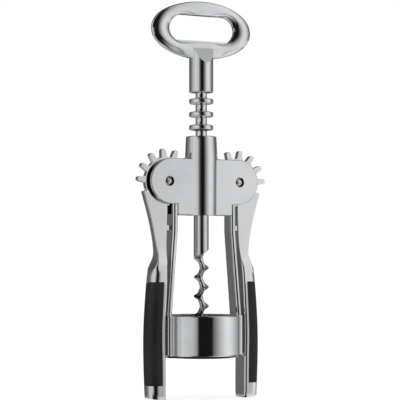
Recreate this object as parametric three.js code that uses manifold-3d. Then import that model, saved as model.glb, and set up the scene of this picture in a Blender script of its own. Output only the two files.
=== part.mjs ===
// A wing corkscrew: a frame with a bell, a ring rack on a worm, an oval handle and two toothed wings.
// Millimetres, +Z up along the spindle, the wings swing in the XZ plane, -Y is the front.
// The origin is on the spindle axis, level with the tips of the lowered wings.

import * as THREE from 'three';
import { mergeVertices } from 'three/addons/utils/BufferGeometryUtils.js';
import Module from 'manifold-3d';

const wasm = await Module();
wasm.setup();

const degree = Math.PI / 180;
const quarterTurn = Math.PI / 2;

// Fineness of the facets.
const fineSteps = 64;
const roundSteps = 40;
const ringSteps = 24;
const smallSteps = 16;
const cornerSteps = 3;
const arcSteps = 20;
const chamferSteps = 1;

// Clearances.
const seatGap = 0.3;
const runGap = 0.35;
const cutOver = 2;
const joinDepth = 1;

// Where the wings turn, and how their teeth meet the ring rack.
const pivotZ = 105.9;
const pinRadius = 2.1;
const pinDomeHeight = 0.9;
const pinRecess = 0.6;
const gearPitchRadius = 14;
const gearThickness = 2.8;
const toothAddendum = 1.8;
const toothDedendum = 2.3;
const toothCount = 8;
const toothTipWidth = 2.1;
const toothRootWidth = 3.1;
const toothTipRound = 0.9;
const meshAngle = -8.2 * degree;

// The ring rack. Its rings rest on the teeth, a little below the middle between two of them.
const ringSpacing = 6.45;
const ringRest = 0.4;
const ringCount = 9;
const ringsAbovePivot = 6;
const rackPitchRadius = 5.4;
const ringProud = 0.55;
const ringEdgeHeight = 2.2;
const ringRootHeight = 3.4;
const ringRound = 0.4;
const rackRootRadius = 2.8;
const rackFootLength = 1;
const rackHeadLength = 2.3;
const rackBoreRadius = 1.9;

// The frame: collar tube, cheeks, block, legs and bell.
const collarTopRadius = 7.5;
const collarRadius = 8;
const collarFootRadius = 7.8;
const collarHeight = 22.3;
const collarEdge = 0.6;
const cheekHalfDepth = 4.2;
const lobeRadius = 11.1;
const lobeInset = 0.9;
const blockHalfWidth = 15.2;
const blockDrop = 5.35;
const legThickness = 2.7;
const legHalfDepth = 3.7;
const legFootHalfDepth = 5;
const legChamfer = 0.7;
const legKneeInset = 2.1;
const legKneeDrop = 15;
const legFootOutset = 0.6;
const bellRadius = 18.8;
const bellHeight = 20.5;
const bellBottom = 20.3;
const bellWall = 3.05;
const bellEdge = 1.6;
const lugProud = 0.8;
const lugHalfDepth = 5.1;
const lugRound = 1.2;
const seatThickness = 2.2;
const seatRadius = 11.5;

// The handle: an oval ring on a round neck.
const neckRadius = 5.95;
const neckLength = 21.8;
const neckEdge = 0.5;
const neckFlatRise = 7.2;
const ovalRise = 8.8;
const ovalHalfLength = 27.1;
const ovalHalfHeight = 14.15;
const openingHalfLength = 18.1;
const openingHalfHeight = 6.74;
const openingLift = 0.55;
const barHalfDepth = 2.2;
const endHalfDepth = 4.6;
const barPlateauShare = 0.34;
const endPlateauShare = 0.86;
const ovalSteps = 64;
const ovalSideSteps = 16;
const barPower = 5;
const endPower = 2;

// The worm.
const shankRadius = 3.7;
const shankLength = 19.75;
const shankSlant = 28 * degree;
const wormSpacing = 9.35;
const wormStart = 2.9;
const wormTurns = 5;
const wormRadius = 3.7;
const wormInnerReach = 0.8;
const wormThickness = 2.9;
const wormBluntness = 0.75;
const wormStepsPerTurn = 20;
const wormTipTurns = 1.2;
const wormTipShare = 0.06;
const tangRadius = 1.6;
const tangSink = 9;

// The wings. Heights are shares of the pivot's height, offsets are shares of the wing's reach,
// and depths are shares of the grip's half depth.
const wingReach = 13;
const wingPlateHalf = 1.7;
const gripHalfDepth = 6.2;
const gripTopZ = 57.1;
const gripBottomZ = 7.3;
const spineThickness = 1.8;
const plateCorner = 0.5;
const gripCorner = 2.2;
const nubHeight = 2.4;
const nubHalfDepth = 1.2;
const nubZ = 83.3;
const wingSteps = 30;
const wingOuterShares = [
  [0, 0.62], [0.02, 0.66], [0.09, 0.704], [0.19, 0.758], [0.3, 0.758], [0.42, 0.708], [0.5, 0.642],
  [0.56, 0.581], [0.6, 0.535], [0.635, 0.425], [0.67, 0.41], [0.71, 0.446], [0.76, 0.505],
  [0.81, 0.62], [0.855, 0.746], [0.9, 0.854], [0.96, 1],
];
const wingInnerShares = [
  [0, 0.177], [0.02, 0.163], [0.15, 0.168], [0.32, 0.186], [0.45, 0.14], [0.55, 0.102],
  [0.65, 0.065], [0.76, 0.023], [0.9, -0.01], [0.96, -0.01],
];
const wingDepthShares = [
  [0, 0.93], [0.02, 0.97], [0.09, 1], [0.5, 1], [0.57, 0.97], [0.61, 0.85], [0.65, 0.68],
  [0.7, 0.43], [0.75, 0.29], [0.8, 0],
];
const wingShoulderShare = 0.96;

// Sizes that follow from the ones above.
const pivotX = gearPitchRadius + rackPitchRadius;
const gearTipRadius = gearPitchRadius + toothAddendum;
const gearRootRadius = gearPitchRadius - toothDedendum;
const ringRadius = rackPitchRadius + ringProud;
const toothAngle = ringSpacing / gearPitchRadius;
const slotHalf = wingPlateHalf + runGap;
const sweepRadius = gearTipRadius + runGap;
const holeRadius = pinRadius + runGap;
const boreRadius = ringRadius + runGap;
const lobeX = pivotX - lobeInset;
const cheekTop = pivotZ + lobeRadius;
const cheekBottom = pivotZ - lobeRadius;
const blockBottom = cheekBottom - blockDrop;
const collarTop = pivotZ + collarHeight;
const bellTop = bellBottom + bellHeight;
const legKneeReach = pivotX - legKneeInset;
const legFootReach = pivotX + legFootOutset;
const lugReach = legFootReach + lugProud;
const meshRingZ = pivotZ + gearPitchRadius * meshAngle + ringSpacing / 2 - ringRest;
const topRingZ = meshRingZ + ringsAbovePivot * ringSpacing;
const rackBottom = topRingZ - (ringCount - 1) * ringSpacing - ringRootHeight / 2 - rackFootLength;
const rackTop = topRingZ + ringRootHeight / 2 + rackHeadLength;
const neckBottom = rackTop + seatGap;
const neckTop = neckBottom + neckLength;
const ovalZ = neckTop + ovalRise;
const shankTop = rackBottom - seatGap;
const shankBottom = shankTop - shankLength;
const tangTop = neckBottom + tangSink;

// Materials.
const chrome = new THREE.MeshStandardMaterial({ color: 0xc9cccd, metalness: 1, roughness: 0.12 });
const steel = new THREE.MeshStandardMaterial({ color: 0xa6a8aa, metalness: 1, roughness: 0.22 });
const blackGrip = new THREE.MeshStandardMaterial({ color: 0x1b1b1c, metalness: 0, roughness: 0.5 });

// Six times the volume that an indexed geometry encloses, negative when its faces point inwards.
function signedVolume(positions, index) {
  const a = new THREE.Vector3();
  const b = new THREE.Vector3();
  const c = new THREE.Vector3();
  let total = 0;
  for (let i = 0; i < index.length; i += 3) {
    a.fromArray(positions, index[i] * 3);
    b.fromArray(positions, index[i + 1] * 3);
    c.fromArray(positions, index[i + 2] * 3);
    total += a.dot(b.cross(c));
  }
  return total;
}

// A closed geometry as a solid that can be joined and cut, with its faces turned outwards.
function solid(geometry) {
  const bare = geometry.clone();
  bare.deleteAttribute('normal');
  bare.deleteAttribute('uv');
  const merged = mergeVertices(bare);
  const source = merged.index.array;
  const positions = Float32Array.from(merged.attributes.position.array);
  const index = [];
  for (let i = 0; i < source.length; i += 3) {
    const [a, b, c] = [source[i], source[i + 1], source[i + 2]];
    if (a !== b && b !== c && c !== a) index.push(a, b, c);
  }
  if (signedVolume(positions, index) < 0) index.reverse();
  const triVerts = Uint32Array.from(index);
  return new wasm.Manifold(new wasm.Mesh({ numProp: 3, vertProperties: positions, triVerts }));
}

// The named mesh of a finished solid.
function piece(name, body, material) {
  const data = body.getMesh();
  const geometry = new THREE.BufferGeometry();
  geometry.setAttribute('position', new THREE.BufferAttribute(data.vertProperties, 3));
  geometry.setIndex(new THREE.BufferAttribute(data.triVerts, 1));
  geometry.computeVertexNormals();
  const mesh = new THREE.Mesh(geometry, material);
  mesh.name = name;
  return mesh;
}

// A round body about Z, from a profile of radius and height that starts and ends on the axis.
function turned(profile, steps) {
  const points = profile.map(([radius, height]) => new THREE.Vector2(radius, height));
  const geometry = new THREE.LatheGeometry(points, steps);
  geometry.rotateX(quarterTurn);
  return geometry;
}

// A plain cylinder about Z between two heights.
function rod(radius, bottom, top, steps) {
  return turned([[0, bottom], [radius, bottom], [radius, top], [0, top]], steps);
}

// A disc about an axis along Y, centred on the wings' plane.
function disc(radius, halfDepth, x, z, steps) {
  const geometry = new THREE.CylinderGeometry(radius, radius, halfDepth * 2, steps);
  geometry.translate(x, 0, z);
  return geometry;
}

// A shape drawn in X and Z, extruded along Y and centred on the wings' plane.
function slab(shape, halfDepth) {
  const options = { depth: halfDepth * 2, bevelEnabled: false, curveSegments: arcSteps };
  const geometry = new THREE.ExtrudeGeometry(shape, options);
  geometry.translate(0, 0, -halfDepth);
  geometry.rotateX(quarterTurn);
  return geometry;
}

// The same geometry on the other side of the spindle when side is 1; pieces are drawn on the -X side.
function onSide(geometry, side) {
  return side < 0 ? geometry : geometry.clone().scale(-1, 1, 1);
}

// A closed surface through rings of points with equal counts; the ends are capped unless it is a loop.
function loft(rings, loop) {
  const count = rings[0].length;
  const positions = rings.flat().flatMap((point) => point.toArray());
  const index = [];
  const spans = loop ? rings.length : rings.length - 1;
  for (let i = 0; i < spans; i += 1) {
    const here = i * count;
    const next = ((i + 1) % rings.length) * count;
    for (let j = 0; j < count; j += 1) {
      const k = (j + 1) % count;
      index.push(here + j, here + k, next + k, here + j, next + k, next + j);
    }
  }
  if (!loop) {
    const last = (rings.length - 1) * count;
    for (let j = 1; j < count - 1; j += 1) {
      index.push(0, j + 1, j, last, last + j, last + j + 1);
    }
  }
  const geometry = new THREE.BufferGeometry();
  geometry.setAttribute('position', new THREE.Float32BufferAttribute(positions, 3));
  geometry.setIndex(index);
  return geometry;
}

// A rectangle in X and Y with rounded corners, or with flat ones at one step, as a ring at height z.
function cornerRing({ left, right, halfDepth, corner, steps, z }) {
  const radius = Math.min(corner, (right - left) / 2, halfDepth);
  const centres = [
    [right - radius, -halfDepth + radius], [right - radius, halfDepth - radius],
    [left + radius, halfDepth - radius], [left + radius, -halfDepth + radius],
  ];
  const ring = [];
  centres.forEach(([x, y], quadrant) => {
    for (let i = 0; i <= steps; i += 1) {
      const angle = (quadrant - 1 + i / steps) * quarterTurn;
      ring.push(new THREE.Vector3(x + radius * Math.cos(angle), y + radius * Math.sin(angle), z));
    }
  });
  return ring;
}

// The value at a share along a table of shares, on a smooth curve through its points.
function along(table, share) {
  let i = 1;
  while (i < table.length - 1 && table[i][0] < share) i += 1;
  const [x0, y0] = table[i - 1];
  const [x1, y1] = table[i];
  const before = table[Math.max(i - 2, 0)];
  const after = table[Math.min(i + 1, table.length - 1)];
  const span = x1 - x0;
  const m0 = ((y1 - before[1]) / (x1 - before[0])) * span;
  const m1 = ((after[1] - y0) / (after[0] - x0)) * span;
  const t = Math.min(Math.max((share - x0) / span, 0), 1);
  const t2 = t * t;
  const t3 = t2 * t;
  return y0 * (2 * t3 - 3 * t2 + 1) + m0 * (t3 - 2 * t2 + t) + y1 * (3 * t2 - 2 * t3) + m1 * (t3 - t2);
}

// One tooth of a wing, drawn from inside the sector out along its own direction.
function toothShape() {
  const root = gearRootRadius - joinDepth;
  const bend = gearTipRadius - toothTipRound;
  const shape = new THREE.Shape();
  shape.moveTo(root, -toothRootWidth / 2);
  shape.lineTo(gearRootRadius, -toothRootWidth / 2);
  shape.lineTo(bend, -toothTipWidth / 2);
  shape.absarc(bend, -toothTipWidth / 2 + toothTipRound, toothTipRound, -quarterTurn, 0, false);
  shape.absarc(bend, toothTipWidth / 2 - toothTipRound, toothTipRound, 0, quarterTurn, false);
  shape.lineTo(gearRootRadius, toothRootWidth / 2);
  shape.lineTo(root, toothRootWidth / 2);
  shape.closePath();
  return shape;
}

// The toothed sector of the left wing: a disc about the pivot with teeth towards the rack and upwards.
function gearSector() {
  const halfDepth = gearThickness / 2;
  let sector = solid(disc(gearRootRadius, halfDepth, -pivotX, pivotZ, fineSteps));
  const options = { depth: gearThickness, bevelEnabled: false, curveSegments: cornerSteps };
  for (let i = 0; i < toothCount; i += 1) {
    const tooth = new THREE.ExtrudeGeometry(toothShape(), options);
    tooth.translate(0, 0, -halfDepth);
    tooth.rotateZ(meshAngle + i * toothAngle);
    tooth.rotateX(quarterTurn);
    tooth.translate(-pivotX, 0, pivotZ);
    sector = sector.add(solid(tooth));
  }
  return sector;
}

// The section of the left wing at a share of the pivot's height.
function wingSection(share) {
  const left = -pivotX - wingReach * along(wingOuterShares, share);
  const right = -pivotX - wingReach * along(wingInnerShares, share);
  const swell = along(wingDepthShares, share);
  const halfDepth = wingPlateHalf + (gripHalfDepth - wingPlateHalf) * swell;
  const corner = plateCorner + (gripCorner - plateCorner) * swell;
  return { left, right, halfDepth, corner };
}

// The whole body of the left wing below its sector, before the grip's pocket is cut.
function wingBody() {
  const rings = [];
  for (let i = 0; i <= wingSteps; i += 1) {
    const share = (wingShoulderShare * i) / wingSteps;
    rings.push(cornerRing({ ...wingSection(share), steps: cornerSteps, z: pivotZ * share }));
  }
  return loft(rings, false);
}

// The room of the grip on the left wing's outer side, drawn in X and Z with a gap to its walls.
function pocketShape(gap) {
  const bottom = gripBottomZ + gap;
  const top = gripTopZ - gap;
  const far = -pivotX - wingReach - cutOver;
  const steps = cornerSteps * 2;
  const shape = new THREE.Shape();
  shape.moveTo(far, bottom);
  for (let i = 0; i <= steps; i += 1) {
    const z = bottom + ((top - bottom) * i) / steps;
    shape.lineTo(wingSection(z / pivotZ).right - spineThickness - gap, z);
  }
  shape.lineTo(far, top);
  shape.closePath();
  return shape;
}

// A wing: sector, arm, rest nub, spine and end block, with the pin's hole and the grip's pocket.
function makeWing(name, side) {
  const legOuter = legReachAt(nubZ - nubHeight / 2);
  const nub = new THREE.BoxGeometry(pivotX + joinDepth - legOuter - runGap, nubHalfDepth * 2, nubHeight);
  nub.translate(-(pivotX + joinDepth + legOuter + runGap) / 2, 0, nubZ);
  const body = solid(wingBody())
    .add(gearSector())
    .add(solid(nub))
    .subtract(solid(slab(pocketShape(0), gripHalfDepth + cutOver)))
    .subtract(solid(disc(holeRadius, gripHalfDepth, -pivotX, pivotZ, smallSteps)));
  return sided(name, body, side, chrome);
}

// A grip: the outer part of the wing's form, a gap smaller than its pocket.
function makeGrip(name, side) {
  const body = solid(wingBody()).intersect(solid(slab(pocketShape(seatGap), gripHalfDepth + cutOver)));
  return sided(name, body, side, blackGrip);
}

// The named mesh of a solid drawn on the -X side, moved to its side of the spindle.
function sided(name, body, side, material) {
  const mesh = piece(name, body, material);
  if (side < 0) return mesh;
  return piece(name, solid(onSide(mesh.geometry, side)), material);
}

// A pivot pin with a domed end at each side, sunk below the cheeks' faces.
function makePin(name, side) {
  const crown = cheekHalfDepth - pinRecess;
  const shoulder = crown - pinDomeHeight;
  const profile = [[0, -crown]];
  for (let i = 1; i <= cornerSteps; i += 1) {
    const angle = (i / cornerSteps) * quarterTurn;
    profile.push([pinRadius * Math.sin(angle), -shoulder - pinDomeHeight * Math.cos(angle)]);
  }
  const mirrored = profile.map(([radius, height]) => [radius, -height]).reverse();
  const points = [...profile, ...mirrored].map(([radius, height]) => new THREE.Vector2(radius, height));
  const pin = new THREE.LatheGeometry(points, smallSteps);
  pin.translate(-pivotX, 0, pivotZ);
  return sided(name, solid(pin), side, steel);
}

// How far a leg's outer face stands from the spindle axis at height z: upright above the knee.
function legReachAt(z) {
  const kneeZ = cheekBottom - legKneeDrop;
  const t = (kneeZ - z) / (kneeZ - bellTop);
  return legKneeReach + (legFootReach - legKneeReach) * Math.max(t, 0);
}

// A leg on the given side, from inside the block down into the bell's lug.
function legSolid(side) {
  const stations = [
    [bellTop - joinDepth, legFootHalfDepth], [cheekBottom - legKneeDrop, legHalfDepth],
    [cheekBottom, legHalfDepth],
  ];
  const rings = stations.map(([z, halfDepth]) => cornerRing({
    left: -legReachAt(z),
    right: -legReachAt(z) + legThickness,
    halfDepth,
    corner: legChamfer,
    steps: chamferSteps,
    z,
  }));
  return solid(onSide(loft(rings, false), side));
}

// The outline of the cheeks and of the block below them, in X and Z.
function cheekShape() {
  const shape = new THREE.Shape();
  shape.moveTo(-blockHalfWidth, blockBottom);
  shape.lineTo(blockHalfWidth, blockBottom);
  shape.lineTo(blockHalfWidth, cheekBottom);
  shape.absarc(lobeX, pivotZ, lobeRadius, -quarterTurn, quarterTurn, false);
  shape.absarc(-lobeX, pivotZ, lobeRadius, quarterTurn, 3 * quarterTurn, false);
  shape.lineTo(-blockHalfWidth, cheekBottom);
  shape.closePath();
  return shape;
}

// The collar tube, slightly waisted, with a broken top edge.
function collarSolid() {
  return solid(turned([
    [0, blockBottom], [collarFootRadius, blockBottom], [collarRadius, cheekTop],
    [collarTopRadius, collarTop - collarEdge], [collarTopRadius - collarEdge, collarTop], [0, collarTop],
  ], roundSteps));
}

// The bell with its lugs, its bore and the shoulder that a bottle's lip stops against.
function bellSolid() {
  const edges = [];
  for (let i = 0; i <= cornerSteps; i += 1) {
    const angle = (i / cornerSteps) * quarterTurn;
    edges.push([bellBottom + bellEdge * (1 - Math.sin(angle)), bellEdge * (1 - Math.cos(angle))]);
  }
  edges.reverse();
  edges.push([bellTop - collarEdge, 0], [bellTop, collarEdge]);
  const wall = edges.map(([z, inset]) => [bellRadius - inset, z]);
  const ring = solid(turned([[0, bellBottom], ...wall, [0, bellTop]], fineSteps));
  const rings = edges.map(([z, inset]) => cornerRing({
    left: inset - lugReach,
    right: lugReach - inset,
    halfDepth: lugHalfDepth - inset,
    corner: lugRound,
    steps: cornerSteps,
    z,
  }));
  return ring.add(solid(loft(rings, false)));
}

// The frame: one casting from the collar down to the bell.
function makeFrame() {
  const seatBottom = bellTop - seatThickness;
  let body = collarSolid()
    .add(solid(slab(cheekShape(), cheekHalfDepth)))
    .add(legSolid(-1))
    .add(legSolid(1))
    .add(bellSolid())
    .subtract(solid(rod(boreRadius, blockBottom - cutOver, collarTop + cutOver, roundSteps)))
    .subtract(solid(rod(bellRadius - bellWall, bellBottom - cutOver, seatBottom, fineSteps)))
    .subtract(solid(rod(seatRadius, seatBottom - cutOver, bellTop + cutOver, roundSteps)));
  for (const x of [-pivotX, pivotX]) {
    body = body
      .subtract(solid(disc(sweepRadius, slotHalf, x, pivotZ, fineSteps)))
      .subtract(solid(disc(holeRadius, cheekHalfDepth + cutOver, x, pivotZ, smallSteps)));
  }
  return piece('frame', body, chrome);
}

// The ring rack with the bore that the worm's tang runs through.
function makeRack() {
  const profile = [[0, rackBottom], [rackRootRadius, rackBottom]];
  for (let i = ringCount - 1; i >= 0; i -= 1) {
    const z = topRingZ - i * ringSpacing;
    profile.push(
      [rackRootRadius, z - ringRootHeight / 2],
      [ringRadius - ringRound, z - ringEdgeHeight / 2],
      [ringRadius, z - ringEdgeHeight / 2 + ringRound],
      [ringRadius, z + ringEdgeHeight / 2 - ringRound],
      [ringRadius - ringRound, z + ringEdgeHeight / 2],
      [rackRootRadius, z + ringRootHeight / 2],
    );
  }
  profile.push([rackRootRadius, rackTop], [0, rackTop]);
  const bore = rod(rackBoreRadius, rackBottom - cutOver, rackTop + cutOver, smallSteps);
  return piece('rack_sleeve', solid(turned(profile, ringSteps)).subtract(solid(bore)), chrome);
}

// How far the handle's section has gone from flat bar to round end, from 0 to 1.
function endShare(x) {
  const share = Math.abs(x) / ovalHalfLength;
  const t = Math.min(Math.max((share - barPlateauShare) / (endPlateauShare - barPlateauShare), 0), 1);
  return t * t * (3 - 2 * t);
}

// The rim of the handle's opening in a direction from its centre: a slot with round ends.
function openingPoint(angle) {
  const straight = openingHalfLength - openingHalfHeight;
  const x = Math.cos(angle) * ovalHalfLength;
  const z = Math.sin(angle) * ovalHalfHeight;
  if (Math.abs(x) * openingHalfHeight <= straight * Math.abs(z)) {
    const flat = openingHalfHeight / Math.abs(z);
    return new THREE.Vector2(x * flat, z * flat + openingLift);
  }
  const a = x * x + z * z;
  const half = Math.abs(x) * straight;
  const c = straight * straight - openingHalfHeight * openingHalfHeight;
  const reach = (half + Math.sqrt(half * half - a * c)) / a;
  return new THREE.Vector2(x * reach, z * reach + openingLift);
}

// The oval ring of the handle, flat above and below and round at its ends.
function ovalSolid() {
  const rings = [];
  for (let i = 0; i < ovalSteps; i += 1) {
    const angle = (i / ovalSteps) * 2 * Math.PI;
    const outer = new THREE.Vector2(Math.cos(angle) * ovalHalfLength, Math.sin(angle) * ovalHalfHeight);
    const inner = openingPoint(angle);
    const centre = outer.clone().add(inner).multiplyScalar(0.5);
    const across = outer.clone().sub(inner).multiplyScalar(0.5);
    const round = endShare(outer.x);
    const halfDepth = barHalfDepth + (endHalfDepth - barHalfDepth) * round;
    const power = barPower + (endPower - barPower) * round;
    const ring = [];
    for (let j = 0; j < ovalSideSteps; j += 1) {
      const turn = (j / ovalSideSteps) * 2 * Math.PI;
      const c = Math.sign(Math.cos(turn)) * Math.abs(Math.cos(turn)) ** (2 / power);
      const s = Math.sign(Math.sin(turn)) * Math.abs(Math.sin(turn)) ** (2 / power);
      const point = centre.clone().addScaledVector(across, c);
      ring.push(new THREE.Vector3(point.x, halfDepth * s, point.y + ovalZ));
    }
    rings.push(ring);
  }
  return solid(loft(rings, true));
}

// A wedge that slants one side of the neck in to the thickness of the handle's lower bar.
function neckFlat(side) {
  const shape = new THREE.Shape();
  const start = neckTop - neckFlatRise;
  shape.moveTo(barHalfDepth, neckTop);
  shape.lineTo(neckRadius, start);
  shape.lineTo(neckRadius + cutOver, start);
  shape.lineTo(neckRadius + cutOver, neckTop + cutOver);
  shape.lineTo(barHalfDepth, neckTop + cutOver);
  shape.closePath();
  const options = { depth: neckRadius * 2 + cutOver, bevelEnabled: false };
  const geometry = new THREE.ExtrudeGeometry(shape, options);
  geometry.translate(0, 0, -(neckRadius + cutOver / 2));
  geometry.rotateX(quarterTurn);
  geometry.rotateZ(side * quarterTurn);
  return solid(geometry);
}

// The handle: the oval ring and its neck, with a blind bore for the worm's tang.
function makeHandle() {
  const bore = rod(tangRadius + seatGap, neckBottom - cutOver, tangTop + seatGap, smallSteps);
  const neck = solid(turned([
    [0, neckBottom], [neckRadius - neckEdge, neckBottom], [neckRadius, neckBottom + neckEdge],
    [neckRadius, neckTop], [0, neckTop],
  ], roundSteps));
  const body = neck
    .subtract(neckFlat(1))
    .subtract(neckFlat(-1))
    .add(ovalSolid())
    .subtract(solid(bore));
  return piece('handle', body, chrome);
}

// The worm's section at a turn from its top: a drop with its point outwards, scaled about that point.
function wormRing(turns, scale) {
  const z = shankBottom + wormStart - turns * wormSpacing;
  const tip = wormRadius * (wormBluntness + (1 - wormBluntness) * scale);
  const length = (wormRadius + wormInnerReach) * scale;
  const round = (wormThickness / 2) * scale;
  const centre = tip - length + round;
  const start = Math.acos(round / (length - round));
  const steps = cornerSteps * 2;
  const outline = [[tip, 0]];
  for (let i = 0; i <= steps; i += 1) {
    const angle = start + (i / steps) * (Math.PI - start) * 2;
    outline.push([centre + round * Math.cos(angle), round * Math.sin(angle)]);
  }
  const turn = -turns * 2 * Math.PI;
  return outline.map(([x, y]) => new THREE.Vector3(
    x * Math.cos(turn) - y * Math.sin(turn),
    x * Math.sin(turn) + y * Math.cos(turn),
    z,
  ));
}

// The worm: tang, shank with a slanted end, and an open right-handed screw with a sharp tip.
function makeWorm() {
  const steps = Math.round(wormTurns * wormStepsPerTurn);
  const rings = [];
  for (let i = 0; i <= steps; i += 1) {
    const turns = (i / steps) * wormTurns;
    const left = Math.min((wormTurns - turns) / wormTipTurns, 1);
    rings.push(wormRing(turns, Math.max(left, wormTipShare)));
  }
  const cutterSide = (shankRadius + cutOver) * 2;
  const cutter = new THREE.BoxGeometry(cutterSide, cutterSide, cutterSide);
  cutter.translate(0, 0, -cutterSide / 2);
  cutter.rotateY(-shankSlant);
  cutter.translate(0, 0, shankBottom);
  const shank = solid(rod(shankRadius, shankBottom - shankRadius, shankTop, roundSteps))
    .subtract(solid(cutter));
  const body = shank
    .add(solid(rod(tangRadius, shankTop - joinDepth, tangTop, smallSteps)))
    .add(solid(loft(rings, false)));
  return piece('worm', body, steel);
}

const opener = new THREE.Group();
opener.add(
  makeFrame(),
  makeRack(),
  makeHandle(),
  makeWorm(),
  makeWing('wing_left', -1),
  makeWing('wing_right', 1),
  makeGrip('grip_left', -1),
  makeGrip('grip_right', 1),
  makePin('pivot_pin_left', -1),
  makePin('pivot_pin_right', 1),
);

export default opener;
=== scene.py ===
"""A wing corkscrew in polished chrome with black grips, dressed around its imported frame.

Metres, +Z up along the spindle, the wings swing in the XZ plane and -Y is the front. Every piece is
shaped with bmesh operators, joined and cut as its casting is, and rides on the body of the node that it
replaces.
"""

import logging
import math
from dataclasses import dataclass
from enum import Enum
from typing import Callable, Iterable, Sequence

import bmesh
import bpy
from mathutils import Matrix, Vector

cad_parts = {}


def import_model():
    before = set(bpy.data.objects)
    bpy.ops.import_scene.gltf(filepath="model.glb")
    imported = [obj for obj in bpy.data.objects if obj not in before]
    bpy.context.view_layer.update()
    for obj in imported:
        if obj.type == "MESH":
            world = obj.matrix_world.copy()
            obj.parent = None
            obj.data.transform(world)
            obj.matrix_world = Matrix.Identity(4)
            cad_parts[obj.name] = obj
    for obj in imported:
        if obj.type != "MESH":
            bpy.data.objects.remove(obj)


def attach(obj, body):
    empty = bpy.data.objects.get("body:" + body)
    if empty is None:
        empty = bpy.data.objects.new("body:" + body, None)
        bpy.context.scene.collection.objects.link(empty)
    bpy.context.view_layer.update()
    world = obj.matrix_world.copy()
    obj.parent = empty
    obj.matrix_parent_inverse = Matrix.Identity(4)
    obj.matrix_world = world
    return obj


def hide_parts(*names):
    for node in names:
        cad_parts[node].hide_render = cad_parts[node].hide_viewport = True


log = logging.getLogger("wing_corkscrew")

QUARTER_TURN = math.pi / 2
FULL_TURN = math.pi * 2
# Points closer than this are one point, and edges sharper than this look sharp.
WELD = 1e-7
SHARP = math.radians(26)
# A rounding of the full radius or more has a point every step, and a smaller one has fewer.
FILLET_STEP = math.radians(5)
FILLET_FULL = 0.004
# The share of a quarter's points that each straight side of a section gets.
SIDE_SHARE = 0.25
# Where a radial gradient stands at the front.
SWEEP_FRONT = 0.25

Point = tuple[float, float]
Corner = tuple[float, float, float]
Table = Sequence[Point]
Colour = tuple[float, float, float]
Place = tuple[float, float, float]
Material = bpy.types.Material
Form = bmesh.types.BMesh
Object = bpy.types.Object
Socket = bpy.types.NodeSocket
Section = Callable[[float, float], Vector]


class Operation(Enum):
    """How one solid works on another."""

    JOIN = "UNION"
    CUT = "DIFFERENCE"
    KEEP = "INTERSECT"


class Side(Enum):
    """The side of the spindle that a piece stands on, as the sign of its X."""

    LEFT = -1
    RIGHT = 1


@dataclass(frozen=True)
class Fineness:
    """How finely round shapes are divided."""

    fine: int = 160
    round: int = 96
    small: int = 48
    section: int = 32
    corner: int = 4


@dataclass(frozen=True)
class Layout:
    """Where the pieces meet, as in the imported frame."""

    pivot_z: float = 0.1059
    pin_radius: float = 0.0021
    gear_pitch: float = 0.014
    rack_pitch: float = 0.0054
    addendum: float = 0.0018
    dedendum: float = 0.0023
    mesh_angle: float = math.radians(-8.2)
    ring_spacing: float = 0.00645
    ring_rest: float = 0.0004
    ring_proud: float = 0.00055
    ring_count: int = 9
    rings_above: int = 6
    root_height: float = 0.0034
    rack_foot: float = 0.001
    rack_head: float = 0.0023
    seat_gap: float = 0.0003
    run_gap: float = 0.00035
    neck_length: float = 0.0218
    shank_length: float = 0.01975

    @property
    def pivot_x(self) -> float:
        """Distance of the pivots from the spindle's axis."""
        return self.gear_pitch + self.rack_pitch

    @property
    def gear_tip(self) -> float:
        """Radius of the teeth's tips."""
        return self.gear_pitch + self.addendum

    @property
    def gear_root(self) -> float:
        """Radius of the teeth's roots."""
        return self.gear_pitch - self.dedendum

    @property
    def ring_radius(self) -> float:
        """Radius of the rack's rings."""
        return self.rack_pitch + self.ring_proud

    @property
    def top_ring(self) -> float:
        """Height of the uppermost ring's middle."""
        mesh_ring = self.pivot_z + self.gear_pitch * self.mesh_angle + self.ring_spacing / 2 - self.ring_rest
        return mesh_ring + self.rings_above * self.ring_spacing

    @property
    def rack_top(self) -> float:
        """Height of the rack's upper end."""
        return self.top_ring + self.root_height / 2 + self.rack_head

    @property
    def rack_bottom(self) -> float:
        """Height of the rack's lower end."""
        lowest = self.top_ring - (self.ring_count - 1) * self.ring_spacing
        return lowest - self.root_height / 2 - self.rack_foot

    @property
    def neck_bottom(self) -> float:
        """Height of the lower end of the handle's neck."""
        return self.rack_top + self.seat_gap

    @property
    def neck_top(self) -> float:
        """Height where the neck's flats end."""
        return self.neck_bottom + self.neck_length

    @property
    def shank_top(self) -> float:
        """Height of the upper end of the worm's shank."""
        return self.rack_bottom - self.seat_gap

    @property
    def shank_bottom(self) -> float:
        """Height of the middle of the shank's slanted end."""
        return self.shank_top - self.shank_length


LAYOUT = Layout()
STEPS = Fineness()


def smooth_step(share: float) -> float:
    """A share from 0 to 1 that starts and ends level."""
    clear = min(max(share, 0.0), 1.0)
    return clear * clear * (3 - 2 * clear)


def along(table: Table, share: float) -> float:
    """Reads a table of shares on a smooth curve through its points.

    Args:
        table: Pairs of share and value, in rising order of share.
        share: Where to read the table.

    Returns:
        The value at that share.
    """
    i = 1
    while i < len(table) - 1 and table[i][0] < share:
        i += 1
    (x0, y0), (x1, y1) = table[i - 1], table[i]
    before, after = table[max(i - 2, 0)], table[min(i + 1, len(table) - 1)]
    span = x1 - x0
    m0 = (y1 - before[1]) / (x1 - before[0]) * span
    m1 = (after[1] - y0) / (after[0] - x0) * span
    t = min(max((share - x0) / span, 0.0), 1.0)
    t2, t3 = t * t, t * t * t
    return y0 * (2 * t3 - 3 * t2 + 1) + m0 * (t3 - 2 * t2 + t) + y1 * (3 * t2 - 2 * t3) + m1 * (t3 - t2)


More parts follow.
